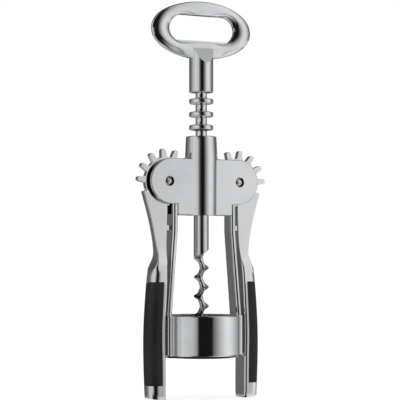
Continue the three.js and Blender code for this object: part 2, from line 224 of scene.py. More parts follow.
def filleted(corners: Sequence[Corner], closed: bool = True) -> list[Point]:
    """Rounds the corners of an outline.

    Args:
        corners: The place of each corner and the radius of its rounding.
        closed: Whether the last corner joins the first.

    Returns:
        The points of the outline.
    """
    points: list[Point] = []
    for index, (x, y, radius) in enumerate(corners):
        end = not closed and index in (0, len(corners) - 1)
        if end or not radius:
            points.append((x, y))
            continue
        spot = Vector((x, y))
        back = (Vector(corners[index - 1][:2]) - spot).normalized()
        ahead = (Vector(corners[(index + 1) % len(corners)][:2]) - spot).normalized()
        half = back.angle(ahead) / 2
        middle = spot + (back + ahead).normalized() * (radius / math.sin(half))
        first = spot + back * (radius / math.tan(half)) - middle
        last = spot + ahead * (radius / math.tan(half)) - middle
        start = math.atan2(first.y, first.x)
        sweep = (math.atan2(last.y, last.x) - start + math.pi) % FULL_TURN - math.pi
        steps = max(STEPS.corner, round(abs(sweep) / FILLET_STEP * min(1.0, radius / FILLET_FULL)))
        for i in range(steps + 1):
            turn = start + sweep * i / steps
            points.append((middle.x + radius * math.cos(turn), middle.y + radius * math.sin(turn)))
    return points


def spun(profile: Iterable[Point], steps: int) -> Form:
    """Turns a profile about Z.

    Args:
        profile: Pairs of radius and height.
        steps: Number of steps round the axis.

    Returns:
        The turned form.
    """
    form = bmesh.new()
    verts = [form.verts.new((radius, 0, height)) for radius, height in profile]
    edges = [form.edges.new(pair) for pair in zip(verts, verts[1:])]
    bmesh.ops.spin(
        form, geom=verts + edges, axis=(0, 0, 1), cent=(0, 0, 0), angle=FULL_TURN, steps=steps, use_merge=True
    )
    return form


class Solid:
    """A closed body that is joined to others, cut by them and cast in one with them."""

    def __init__(self, form: Form) -> None:
        """Closes up a form and keeps it as a mesh.

        Args:
            form: The shaped bmesh, which is freed here.
        """
        bmesh.ops.remove_doubles(form, verts=form.verts[:], dist=WELD)
        bmesh.ops.recalc_face_normals(form, faces=form.faces[:])
        self.mesh = bpy.data.meshes.new("stock")
        form.to_mesh(self.mesh)
        form.free()

    @classmethod
    def turned(cls, profile: Iterable[Point], steps: int) -> "Solid":
        """A profile of radii and heights, from axis to axis or closed, turned about Z."""
        return cls(spun(profile, steps))

    @classmethod
    def rod(cls, radius: float, bottom: float, top: float, steps: int) -> "Solid":
        """A plain cylinder about Z between two heights."""
        return cls.turned([(0, bottom), (radius, bottom), (radius, top), (0, top)], steps)

    @classmethod
    def prism(cls, outline: Iterable[Point], half_depth: float) -> "Solid":
        """Extrudes an outline along Y, centred on the wings' plane.

        Args:
            outline: Corners of the outline in X and Z.
            half_depth: How far the prism reaches to the front and to the back.

        Returns:
            The extruded solid.
        """
        form = bmesh.new()
        face = form.faces.new([form.verts.new((x, -half_depth, z)) for x, z in outline])
        grown = bmesh.ops.extrude_face_region(form, geom=[face], use_keep_orig=True)
        moved = [item for item in grown["geom"] if isinstance(item, bmesh.types.BMVert)]
        bmesh.ops.translate(form, verts=moved, vec=(0, half_depth * 2, 0))
        return cls(form)

    @classmethod
    def disc(cls, radius: float, half_depth: float, x: float, z: float, steps: int) -> "Solid":
        """A cylinder about an axis along Y, centred on the wings' plane."""
        spots = [i * FULL_TURN / steps for i in range(steps)]
        return cls.prism([(x + radius * math.cos(a), z + radius * math.sin(a)) for a in spots], half_depth)

    @classmethod
    def lofted(cls, section: Section, stations: Sequence[float], sides: int) -> "Solid":
        """Extrudes a ring from station to station and fits each ring to its section.

        Args:
            section: Gives a point from a station and an angle round the section.
            stations: Values along the solid, from one end to the other.
            sides: Number of points round a section.

        Returns:
            The lofted solid with both ends closed.
        """
        form = bmesh.new()
        ring = bmesh.ops.create_circle(form, cap_ends=True, radius=1, segments=sides)["verts"]
        angles = [math.atan2(vert.co.y, vert.co.x) for vert in ring]
        edges = [edge for edge in form.edges if edge.is_boundary or len(edge.link_faces) == 1]
        for index, station in enumerate(stations):
            if index:
                grown = bmesh.ops.extrude_edge_only(form, edges=edges)["geom"]
                edges = [item for item in grown if isinstance(item, bmesh.types.BMEdge) and item.is_boundary]
                ring = [item for item in grown if isinstance(item, bmesh.types.BMVert)]
            for vert, angle in zip(ring, angles):
                vert.co = section(station, angle)
        bmesh.ops.holes_fill(form, edges=edges, sides=sides)
        return cls(form)

    def object(self, name: str) -> Object:
        """Links the mesh to the scene as an object.

        Args:
            name: Name of the object.

        Returns:
            The object.
        """
        made = bpy.data.objects.new(name, self.mesh)
        bpy.context.scene.collection.objects.link(made)
        return made

    def evaluated(self, made: Object) -> None:
        """Takes over the mesh of an object with its modifiers applied.

        Args:
            made: The object, which is removed here.
        """
        bpy.context.view_layer.update()
        graph = bpy.context.evaluated_depsgraph_get()
        self.mesh = bpy.data.meshes.new_from_object(made.evaluated_get(graph))
        bpy.data.objects.remove(made)

    def combine(self, operation: Operation, *others: "Solid") -> "Solid":
        """Works other solids on this one.

        Args:
            operation: What they do to it.
            *others: The solids that join, cut or bound it.

        Returns:
            This solid.
        """
        for other in others:
            tool, base = other.object("tool"), self.object("base")
            modifier = base.modifiers.new("combine", "BOOLEAN")
            modifier.operation = operation.value
            modifier.solver = "MANIFOLD"
            modifier.object = tool
            self.evaluated(base)
            bpy.data.objects.remove(tool)
        return self

    def join(self, *others: "Solid") -> "Solid":
        """Joins other solids to this one."""
        return self.combine(Operation.JOIN, *others)

    def cut(self, *others: "Solid") -> "Solid":
        """Cuts this solid by others."""
        return self.combine(Operation.CUT, *others)

    def shape(self, work: Callable[[Form], None]) -> "Solid":
        """Opens the mesh for bmesh work.

        Args:
            work: What is done to the form.

        Returns:
            This solid.
        """
        form = bmesh.new()
        form.from_mesh(self.mesh)
        work(form)
        form.to_mesh(self.mesh)
        form.free()
        return self

    def moved(self, matrix: Matrix) -> "Solid":
        """Moves the whole solid, with its faces kept outwards if it is turned over.

        Args:
            matrix: The move.

        Returns:
            This solid.
        """
        self.mesh.transform(matrix)
        if matrix.determinant() < 0:
            self.mesh.flip_normals()
        return self

    def on_side(self, side: Side) -> "Solid":
        """Moves a solid that was shaped on the left to its side of the spindle."""
        return self.moved(Matrix.Diagonal((-side.value, 1, 1, 1)))

    def sliced(self, place: Vector, outward: Vector) -> "Solid":
        """Cuts away what lies beyond a plane and closes the cut.

        Args:
            place: A point of the plane.
            outward: The direction of the side that goes.

        Returns:
            This solid.
        """

        def slice_off(form: Form) -> None:
            """Bisects the form and fills the open edges.

            Args:
                form: The opened form.
            """
            everything = form.verts[:] + form.edges[:] + form.faces[:]
            bmesh.ops.bisect_plane(form, geom=everything, plane_co=place, plane_no=outward, clear_outer=True)
            open_edges = [edge for edge in form.edges if edge.is_boundary]
            bmesh.ops.holes_fill(form, edges=open_edges, sides=0)
            bmesh.ops.recalc_face_normals(form, faces=form.faces[:])

        return self.shape(slice_off)

    def softened(self, width: float, where: Callable[[Vector], bool] = lambda spot: True) -> "Solid":
        """Rounds the sharp edges.

        Args:
            width: Width of the rounding.
            where: Says of an edge's middle whether it is rounded.

        Returns:
            This solid.
        """

        def round_off(form: Form) -> None:
            """Bevels the edges that are sharp.

            Args:
                form: The opened form.
            """
            sharp = [
                edge for edge in form.edges
                if edge.is_manifold and edge.calc_face_angle() > SHARP
                and where((edge.verts[0].co + edge.verts[1].co) / 2)
            ]
            bmesh.ops.bevel(
                form, geom=sharp, offset=width, offset_type="OFFSET", segments=STEPS.corner, profile=0.5,
                affect="EDGES", clamp_overlap=True, material=-1,
            )

        return self.shape(round_off)

    def piece(self, name: str, finish: Material, body: str, node: str, slot: str) -> None:
        """Makes the solid a piece of the opener.

        Args:
            name: Name of the piece.
            finish: Its material.
            body: The body that it rides on.
            node: The node that it stands for.
            slot: Not used.
        """
        made = self.object(name)
        made.data.name = name
        made.data.materials.clear()
        made.data.materials.append(finish)
        made.data.polygons.foreach_set("use_smooth", [True] * len(made.data.polygons))
        made.data.set_sharp_from_angle(angle=SHARP)
        made.modifiers.new("even_normals", "WEIGHTED_NORMAL").keep_sharp = True
        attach(made, body)
        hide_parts(node)
        made.data.calc_loop_triangles()
        log.info("%s rides on %s: %d triangles", name, body, len(made.data.loop_triangles))


class Bench:
    """A node tree under construction."""

    def __init__(self, tree: bpy.types.NodeTree) -> None:
        """Empties the tree."""
        self.tree = tree
        tree.nodes.clear()

    def add(self, kind: str, values: dict | None = None, **settings: object) -> bpy.types.Node:
        """Adds a node.

        Args:
            kind: Its type.
            values: Values or sockets for its inputs, by name or number.
            **settings: Values of its properties.

        Returns:
            The node.
        """
        node = self.tree.nodes.new(kind)
        for key, setting in settings.items():
            setattr(node, key, setting)
        for key, value in (values or {}).items():
            socket = node.inputs[key]
            if isinstance(value, Socket):
                self.tree.links.new(value, socket)
            else:
                socket.default_value = value
        return node

    def coordinates(self) -> Socket:
        """The place on the object."""
        return self.add("ShaderNodeTexCoord").outputs["Object"]

    def noise(self, place: Socket, scale: Socket, detail: float) -> Socket:
        """Grey noise of a scale and a detail."""
        return self.add("ShaderNodeTexNoise", {"Vector": place, "Scale": scale, "Detail": detail}).outputs[0]

    def rise(self, value: Socket, ends: Point, **settings: object) -> Socket:
        """A share that rises from nothing to all while a value goes from one end to the other."""
        values = {"Value": value, "From Min": ends[0], "From Max": ends[1]}
        return self.add("ShaderNodeMapRange", values, **settings).outputs[0]

    def maths(self, operation: str, first: Socket, second: Socket | float, clamp: bool = False) -> Socket:
        """A sum or a product, kept between 0 and 1 where it is clamped."""
        values = {0: first, 1: second}
        return self.add("ShaderNodeMath", values, operation=operation, use_clamp=clamp).outputs[0]

    def blend(self, share: Socket, under: Socket, over: Socket) -> Socket:
        """Goes from one colour to another; a Mix node has its colours at 6, 7 and 2."""
        return self.add("ShaderNodeMix", {0: share, 6: under, 7: over}, data_type="RGBA").outputs[2]

    def ramp(self, source: Socket, stops: Table) -> Socket:
        """Turns a value into grey levels.

        Args:
            source: The value.
            stops: Pairs of place and grey level.

        Returns:
            The levels' socket.
        """
        node = self.add("ShaderNodeValToRGB", {"Fac": source})
        elements = node.color_ramp.elements
        ordered = sorted(stops)
        for element, (place, _) in zip(list(elements), (ordered[0], ordered[-1])):
            element.position = place
        for place, _ in ordered[1:-1]:
            elements.new(place)
        for element, (_, level) in zip(elements, ordered):
            element.color = (level, level, level, 1)
        return node.outputs["Color"]

    def glow(self, level: Socket | float, strength: float = 1.0) -> Socket:
        """Plain light of a grey level."""
        colour = level if isinstance(level, Socket) else (level, level, level, 1)
        return self.add("ShaderNodeEmission", {"Color": colour, "Strength": strength}).outputs[0]

    def surface(self, shader: Socket) -> None:
        """Ends the tree with its surface."""
        self.add("ShaderNodeOutputMaterial", {"Surface": shader})


def new_material(name: str) -> tuple[Material, Bench]:
    """Makes an empty material.

    Args:
        name: Its name.

    Returns:
        The material and the bench for its nodes.
    """
    material = bpy.data.materials.new(name)
    material.use_nodes = True
    return material, Bench(material.node_tree)


class Effects:
    """The surface effects that all the finishes share, each a node group built once."""

    wave_detail: float = 1.0
    peel_detail: float = 2.0
    smudge_detail: float = 4.0
    smudge_ends: Point = (0.42, 0.75)
    scratch_detail: float = 3.0
    scratch_ends: Point = (0.58, 0.72)
    scratch_turn: Place = (0.4, 0.7, 0.3)
    scratch_stretch: Place = (0.06, 1, 1)

    def __init__(self) -> None:
        """Builds the groups."""
        self.skin_height = self._skin_height()
        self.handling = self._handling()

    def _group(self, name: str, inputs: Iterable[str], output: str) -> tuple[Bench, dict[str, Socket]]:
        """Starts a group.

        Args:
            name: Its name.
            inputs: Names of its float inputs.
            output: Name of its one float output.

        Returns:
            The group's bench and the sockets that bring its inputs.
        """
        tree = bpy.data.node_groups.new(name, "ShaderNodeTree")
        tree.interface.new_socket("Place", in_out="INPUT", socket_type="NodeSocketVector")
        for key in inputs:
            tree.interface.new_socket(key, in_out="INPUT", socket_type="NodeSocketFloat")
        tree.interface.new_socket(output, in_out="OUTPUT", socket_type="NodeSocketFloat")
        bench = Bench(tree)
        entry = bench.add("NodeGroupInput")
        return bench, {socket.name: socket for socket in entry.outputs if socket.name}

    def _skin_height(self) -> bpy.types.NodeTree:
        """Builds the height of a casting's skin: slow waves and a fine orange peel.

        Returns:
            The group.
        """
        bench, given = self._group("skin_height", ("Wave scale", "Peel scale", "Peel share"), "Height")
        waves = bench.noise(given["Place"], given["Wave scale"], self.wave_detail)
        peel = bench.noise(given["Place"], given["Peel scale"], self.peel_detail)
        total = bench.maths("ADD", waves, bench.maths("MULTIPLY", peel, given["Peel share"]))
        bench.add("NodeGroupOutput", {"Height": total})
        return bench.tree

    def _handling(self) -> bpy.types.NodeTree:
        """Builds the mask of duller places: soft smudges with fine stretched scratches over them.

        Returns:
            The group.
        """
        bench, given = self._group("handling", ("Smudge scale", "Scratch scale", "Scratch share"), "Mask")
        smudge = bench.noise(given["Place"], given["Smudge scale"], self.smudge_detail)
        stretch = bench.add("ShaderNodeMapping", {
            "Vector": given["Place"], "Rotation": self.scratch_turn, "Scale": self.scratch_stretch,
        })
        scratch = bench.noise(stretch.outputs[0], given["Scratch scale"], self.scratch_detail)
        part = bench.maths("MULTIPLY", bench.rise(scratch, self.scratch_ends), given["Scratch share"])
        total = bench.maths("ADD", bench.rise(smudge, self.smudge_ends), part, clamp=True)
        bench.add("NodeGroupOutput", {"Mask": total})
        return bench.tree


@dataclass(frozen=True)
class Finish:
    """A finish: its colour and gloss where it is clean and where it was handled, and its skin."""

    name: str
    clean: Colour
    dull: Colour
    smooth: float
    rough: float
    wave_scale: float
    peel_share: float
    relief: float
    scratch_share: float
    smudge_scale: float = 70.0
    scratch_scale: float = 420.0
    peel_scale: float = 900.0
    metallic: float = 1.0
    specular: float = 0.5

    def build(self, effects: Effects) -> Material:
        """Makes the material.

        Args:
            effects: The shared node groups.

        Returns:
            The material.
        """
        material, bench = new_material(self.name)
        place = bench.coordinates()
        mask = bench.add("ShaderNodeGroup", {
            "Place": place, "Smudge scale": self.smudge_scale, "Scratch scale": self.scratch_scale,
            "Scratch share": self.scratch_share,
        }, node_tree=effects.handling).outputs["Mask"]
        height = bench.add("ShaderNodeGroup", {
            "Place": place, "Wave scale": self.wave_scale, "Peel scale": self.peel_scale,
            "Peel share": self.peel_share,
        }, node_tree=effects.skin_height).outputs["Height"]
        colour = bench.add("ShaderNodeValToRGB", {"Fac": mask})
        for element, tint in zip(colour.color_ramp.elements, (self.clean, self.dull)):
            element.color = (*tint, 1)
        gloss = bench.add("ShaderNodeMapRange", {"Value": mask, "To Min": self.smooth, "To Max": self.rough})
        bump = bench.add("ShaderNodeBump", {"Strength": 1.0, "Distance": self.relief, "Height": height})
        shader = bench.add("ShaderNodeBsdfPrincipled", {
            "Base Color": colour.outputs["Color"], "Roughness": gloss.outputs[0], "Metallic": self.metallic,
            "Specular IOR Level": self.specular, "Normal": bump.outputs[0],
        })
        bench.surface(shader.outputs[0])
        return material


class Finishes:
    """Every finish of the opener."""

    def __init__(self) -> None:
        """Builds the shared effects and the materials."""
        effects = Effects()
        self.chrome = Finish(
            "polished_chrome", clean=(0.8, 0.81, 0.82), dull=(0.74, 0.75, 0.76), smooth=0.05, rough=0.11,
            wave_scale=70.0, peel_share=0.02, relief=0.00002, scratch_share=0.3,
        ).build(effects)
        self.worm_steel = Finish(
            "plated_steel", clean=(0.74, 0.74, 0.75), dull=(0.64, 0.63, 0.62), smooth=0.08, rough=0.15,
            wave_scale=120.0, peel_share=0.03, relief=0.00001, scratch_share=0.4,
        ).build(effects)
        self.pin_steel = Finish(
            "turned_steel", clean=(0.66, 0.63, 0.56), dull=(0.5, 0.47, 0.4), smooth=0.1, rough=0.22,
            wave_scale=300.0, peel_share=0.2, relief=0.00002, scratch_share=0.8,
        ).build(effects)
        self.grip_black = Finish(
            "satin_black", clean=(0.011, 0.011, 0.012), dull=(0.017, 0.017, 0.018), smooth=0.42, rough=0.56,
            wave_scale=160.0, peel_share=0.8, relief=0.00004, scratch_share=0.3, smudge_scale=120.0,
            scratch_scale=300.0, peel_scale=2600.0, metallic=0.0, specular=0.3,
        ).build(effects)


@dataclass(frozen=True)
class WingForm:
    """The form of a wing's arm, shared by its casting and its grip."""

    reach: float = 0.013
    plate_half: float = 0.0017
    grip_half: float = 0.0053
    crisp_corner: float = 0.00035
    full_corner: float = 0.0048
    inner_corner: float = 0.0012
    grip_top: float = 0.0571
    grip_bottom: float = 0.0073
    spine: float = 0.0021
    shoulder_share: float = 0.96
    shoulder_rise: float = math.radians(18)
    foot_rise: float = math.radians(9)
    foot_round: float = 0.0006
    toe_height: float = 0.00001
    stations: int = 96
    outer_shares: Table = (
        (0, 0.785), (0.02, 0.805), (0.09, 0.835), (0.19, 0.866), (0.3, 0.866), (0.39, 0.835), (0.46, 0.795),
        (0.5, 0.765), (0.55, 0.725), (0.571, 0.7), (0.597, 0.635), (0.625, 0.51), (0.66, 0.437),
        (0.713, 0.49), (0.76, 0.56), (0.806, 0.642), (0.855, 0.746), (0.9, 0.854), (0.96, 1),
    )
    inner_shares: Table = (
        (0, 0.177), (0.02, 0.163), (0.15, 0.168), (0.32, 0.186), (0.45, 0.14), (0.55, 0.102), (0.65, 0.065),
        (0.76, 0.023), (0.9, -0.01), (0.96, -0.01),
    )
    depth_shares: Table = (
        (0, 0.93), (0.02, 0.97), (0.09, 1), (0.5, 1), (0.55, 0.985), (0.597, 0.89), (0.625, 0.73),
        (0.643, 0.52), (0.667, 0.3), (0.69, 0.155), (0.71, 0.085), (0.75, 0.035), (0.8, 0.012), (0.86, 0),
        (0.96, 0),
    )
    corner_shares: Table = (
        (0, 0.95), (0.05, 1), (0.5, 1), (0.55, 1), (0.571, 0.88), (0.592, 0.5), (0.606, 0.26), (0.625, 0.08),
        (0.65, 0), (0.96, 0),
    )

    def outer(self, share: float) -> float:
        """X of the outer side at a share of the pivot's height."""
        return -LAYOUT.pivot_x - self.reach * along(self.outer_shares, share)

    def inner(self, share: float) -> float:
        """X of the inner side at a share of the pivot's height."""
        return -LAYOUT.pivot_x - self.reach * along(self.inner_shares, share)

    def section(self, share: float, angle: float) -> Vector:
        """A point of the arm's skin.

        Args:
            share: Share of the pivot's height.
            angle: Angle round the section.

        Returns:
            The point on a rectangle with rounded corners.
        """
        left, right = self.outer(share), self.inner(share)
        half_depth = self.plate_half + (self.grip_half - self.plate_half) * along(self.depth_shares, share)
        corner = self.crisp_corner + (self.full_corner - self.crisp_corner) * along(self.corner_shares, share)
        corners = (min(corner, self.inner_corner), corner)
        x, y = rounded_corner((right - left) / 2, half_depth, corners, angle)
        return Vector(((left + right) / 2 + x, y, LAYOUT.pivot_z * share))

    def arm(self) -> Solid:
        """Shapes all that hangs below the sector, with its shoulder and its foot cut at their slants.

        Returns:
            The arm, for the casting and the grip to be cut from.
        """
        stations = [self.shoulder_share * i / self.stations for i in range(self.stations + 1)]
        body = Solid.lofted(self.section, stations, STEPS.round)
        drop = (self.inner(1) - self.outer(self.shoulder_share)) * math.tan(self.shoulder_rise) / 2
        corner = Vector((self.outer(self.shoulder_share), 0, LAYOUT.pivot_z * self.shoulder_share - drop / 2))
        body.sliced(corner, Vector((-math.sin(self.shoulder_rise), 0, math.cos(self.shoulder_rise))))
        toe = Vector((self.inner(0), 0, self.toe_height))
        body.sliced(toe, Vector((-math.sin(self.foot_rise), 0, -math.cos(self.foot_rise))))
        return body.softened(self.foot_round, lambda spot: spot.z < self.grip_bottom / 2)

    def pocket(self, gap: float) -> Solid:
        """The room of the grip on the outer side.

        Args:
            gap: How much smaller it is all round.

        Returns:
            A solid to cut or to bound with.
        """
        bottom, top = self.grip_bottom + gap, self.grip_top - gap
        far = -LAYOUT.pivot_x - self.reach * 2
        heights = [bottom + (top - bottom) * i / STEPS.section for i in range(STEPS.section + 1)]
        walls = [(self.inner(z / LAYOUT.pivot_z) - self.spine - gap, z) for z in heights]
        return Solid.prism([(far, bottom), *walls, (far, top)], self.grip_half * 2)


def rounded_corner(half_width: float, half_depth: float, corners: Point, angle: float) -> Point:
    """A point of a rectangle with rounded corners, spread so that its corners get half of the points.

    Args:
        half_width: Half of its width.
        half_depth: Half of its depth.
        corners: Radius of its corners on the right and on the left.
        angle: Angle round it; each quarter holds one corner.

    Returns:
        The point.
    """
    quadrant, share = divmod(angle % FULL_TURN / QUARTER_TURN, 1)
    right, back = quadrant in (0, 3), quadrant in (0, 1)
    corner = min(corners[0] if right else corners[1], half_width, half_depth)
    turned = min(max((share - SIDE_SHARE) / (1 - SIDE_SHARE * 2), 0.0), 1.0)
    bend = (quadrant + turned) * QUARTER_TURN
    x = (half_width - corner) * (1 if right else -1) + corner * math.cos(bend)
    y = (half_depth - corner) * (1 if back else -1) + corner * math.sin(bend)
    begun, left = min(share / SIDE_SHARE, 1.0), min((1 - share) / SIDE_SHARE, 1.0)
    return (x * left, y * begun) if quadrant in (0, 2) else (x * begun, y * left)


@dataclass(frozen=True)
class Wing:
    """One wing: toothed sector, arm, rest nub and end block in one casting, with its inlaid grip."""

    side: Side
    form: WingForm = WingForm()
    gear_half: float = 0.0014
    tooth_count: int = 8
    tooth_tip: float = 0.0021
    tooth_root: float = 0.0031
    tooth_round: float = 0.0009
    tooth_edge: float = 0.0003
    tip_short: float = 0.00001
    nub_height: float = 0.0024
    nub_half: float = 0.0012
    nub_z: float = 0.0833
    nub_edge: float = 0.0003
    leg_reach: float = 0.0173
    join_depth: float = 0.001
    seam: float = 0.00012
    grip_edge: float = 0.0003

    @property
    def suffix(self) -> str:
        """The side's name in lower case."""
        return self.side.name.lower()

    def tooth(self, turn: float) -> Solid:
        """One tooth, turned about the pivot.

        Args:
            turn: Its direction from the pivot.

        Returns:
            The tooth.
        """
        inside, tip = LAYOUT.gear_root - self.join_depth, LAYOUT.gear_tip - self.tip_short
        outline = filleted([
            (inside, -self.tooth_root / 2, 0), (LAYOUT.gear_root, -self.tooth_root / 2, 0),
            (tip, -self.tooth_tip / 2, self.tooth_round),
            (tip, self.tooth_tip / 2, self.tooth_round),
            (LAYOUT.gear_root, self.tooth_root / 2, 0), (inside, self.tooth_root / 2, 0),
        ])
        place = Matrix.Translation((-LAYOUT.pivot_x, 0, LAYOUT.pivot_z)) @ Matrix.Rotation(-turn, 4, "Y")
        tooth = Solid.prism(outline, self.gear_half)
        return tooth.softened(self.tooth_edge, lambda spot: spot.x > LAYOUT.gear_root).moved(place)

    def nub(self) -> Solid:
        """Shapes the nub that rests near the leg when the wing is down.

        Returns:
            The nub, to be joined to the arm.
        """
        inside, outside = -LAYOUT.pivot_x - self.join_depth, -self.leg_reach - LAYOUT.run_gap
        low, high = self.nub_z - self.nub_height / 2, self.nub_z + self.nub_height / 2
        return Solid.prism(filleted([
            (inside, low, 0), (outside, low, self.nub_edge), (outside, high, self.nub_edge),
            (inside, high, 0),
        ]), self.nub_half)

    def casting(self) -> Solid:
        """Joins the chrome part of the wing and cuts the grip's pocket and the pin's hole.

        Returns:
            The left wing's casting.
        """
        x, z = -LAYOUT.pivot_x, LAYOUT.pivot_z
        body = self.form.arm()
        body.join(Solid.disc(LAYOUT.gear_root, self.gear_half, x, z, STEPS.fine))
        spacing = LAYOUT.ring_spacing / LAYOUT.gear_pitch
        body.join(*(self.tooth(LAYOUT.mesh_angle + i * spacing) for i in range(self.tooth_count)), self.nub())
        hole = Solid.disc(LAYOUT.pin_radius + LAYOUT.run_gap, self.form.grip_half, x, z, STEPS.small)
        return body.cut(self.form.pocket(0), hole)

    def grip(self) -> Solid:
        """The black inlay of the wing."""
        return self.form.arm().combine(Operation.KEEP, self.form.pocket(self.seam)).softened(self.grip_edge)

    def build(self, finishes: Finishes) -> None:
        """Makes both pieces of the wing.

        Args:
            finishes: The opener's finishes.
        """
        body = f"{self.suffix}_wing"
        self.casting().on_side(self.side).piece(
            f"wing_{self.suffix}_casting", finishes.chrome, body, f"wing_{self.suffix}", "cast_chrome"
        )
        self.grip().on_side(self.side).piece(
            f"grip_{self.suffix}_inlay", finishes.grip_black, body, f"grip_{self.suffix}", "grip_black"
        )


@dataclass(frozen=True)
class Frame:
    """The casting that holds the collar, the cheeks, the legs and the bell, with the two pivot pins."""

    collar_top_radius: float = 0.0075
    collar_radius: float = 0.008
    collar_foot_radius: float = 0.0078
    collar_height: float = 0.0223
    collar_edge: float = 0.0006
    cheek_half: float = 0.0042
    cheek_edge: float = 0.0006
    lobe_radius: float = 0.0111
    lobe_inset: float = 0.0009
    block_half: float = 0.0152
    block_drop: float = 0.00535
    block_round: float = 0.0007
    leg_thickness: float = 0.0027
    leg_half: float = 0.004
    leg_foot_half: float = 0.0043
    leg_corner: float = 0.0011
    leg_knee_inset: float = 0.0021
    leg_knee_drop: float = 0.0128
    leg_foot_outset: float = 0.0012
    bell_radius: float = 0.0188
    bell_height: float = 0.0205
    bell_bottom: float = 0.0203
    bell_wall: float = 0.00305
    bell_edge: float = 0.0016
    lug_proud: float = 0.0002
    lug_half: float = 0.0051
    lug_round: float = 0.0012
    seat_thickness: float = 0.0022
    seat_radius: float = 0.0115
    join_depth: float = 0.001
    cut_over: float = 0.002
    slot_half: float = 0.00205
    pin_recess: float = 0.0006
    pin_dome: float = 0.0009

    @property
    def cheek_top(self) -> float:
        """Height of the cheeks' upper edge."""
        return LAYOUT.pivot_z + self.lobe_radius

    @property
    def cheek_bottom(self) -> float:
        """Height of the cheeks' lower edge."""
        return LAYOUT.pivot_z - self.lobe_radius

    @property
    def block_bottom(self) -> float:
        """Height of the block's underside."""
        return self.cheek_bottom - self.block_drop

    @property
    def bell_top(self) -> float:
        """Height of the bell's upper edge."""
        return self.bell_bottom + self.bell_height

    @property
    def foot_reach(self) -> float:
        """How far a leg's outer face stands from the spindle's axis at the bell."""
        return LAYOUT.pivot_x + self.leg_foot_outset

    def collar(self) -> Solid:
        """Turns the collar tube, slightly waisted, with a rounded top edge.

        Returns:
            The collar without its bore.
        """
        top = LAYOUT.pivot_z + self.collar_height
        return Solid.turned(filleted([
            (0, self.block_bottom, 0), (self.collar_foot_radius, self.block_bottom, 0),
            (self.collar_radius, self.cheek_top, 0), (self.collar_top_radius, top, self.collar_edge),
            (0, top, 0),
        ], closed=False), STEPS.round)

    def cheeks(self) -> Solid:
        """Shapes the cheeks and the block below them.

        Returns:
            One plate, still to be slotted.
        """
        far = LAYOUT.pivot_x - self.lobe_inset + self.lobe_radius
        half, round_end = self.block_half, self.lobe_radius
        return Solid.prism(filleted([
            (-half, self.block_bottom, self.block_round), (half, self.block_bottom, self.block_round),
            (half, self.cheek_bottom, 0),
            (far, self.cheek_bottom, round_end), (far, self.cheek_top, round_end),
            (-far, self.cheek_top, round_end), (-far, self.cheek_bottom, round_end),
            (-half, self.cheek_bottom, 0),
        ]), self.cheek_half).softened(self.cheek_edge)

    def leg_section(self, z: float, angle: float) -> Vector:
        """A point of the left leg's skin.

        Args:
            z: Height on the leg.
            angle: Angle round the section.

        Returns:
            The point: the leg is upright above its knee, and leans out and deepens below it.
        """
        knee = self.cheek_bottom - self.leg_knee_drop
        share = min(max((knee - z) / (knee - self.bell_top), 0.0), 1.0)
        knee_reach = LAYOUT.pivot_x - self.leg_knee_inset
        outer = knee_reach + (self.foot_reach - knee_reach) * share
        half = self.leg_half + (self.leg_foot_half - self.leg_half) * share
        x, y = rounded_corner(self.leg_thickness / 2, half, (self.leg_corner, self.leg_corner), angle)
        return Vector((-outer + self.leg_thickness / 2 + x, y, z))

    def leg(self) -> Solid:
        """Shapes a leg, from inside the block down into the bell's lug.

        Returns:
            The left leg.
        """
        knee = self.cheek_bottom - self.leg_knee_drop
        stations = [self.bell_top - self.join_depth, self.bell_top, knee, self.cheek_bottom]
        return Solid.lofted(self.leg_section, stations, STEPS.section)

    def bell(self) -> Solid:
        """Turns the bell and joins its lugs.

        Returns:
            The bell without its bore.
        """
        profile = filleted([
            (0, self.bell_bottom, 0), (self.bell_radius, self.bell_bottom, self.bell_edge),
            (self.bell_radius, self.bell_top, self.collar_edge), (0, self.bell_top, 0),
        ], closed=False)
        edges = profile[1:-1]

        def section(station: float, angle: float) -> Vector:
            """A point of the lugs' skin.

            Args:
                station: Number of the bell's edge.
                angle: Angle round the lugs.

            Returns:
                The point.
            """
            radius, z = edges[int(station)]
            inset = self.bell_radius - radius
            reach = self.foot_reach + self.lug_proud - inset
            return Vector((*rounded_corner(reach, self.lug_half - inset, (self.lug_round,) * 2, angle), z))

        lugs = Solid.lofted(section, range(len(edges)), STEPS.section)
        return Solid.turned(profile, STEPS.fine).join(lugs)

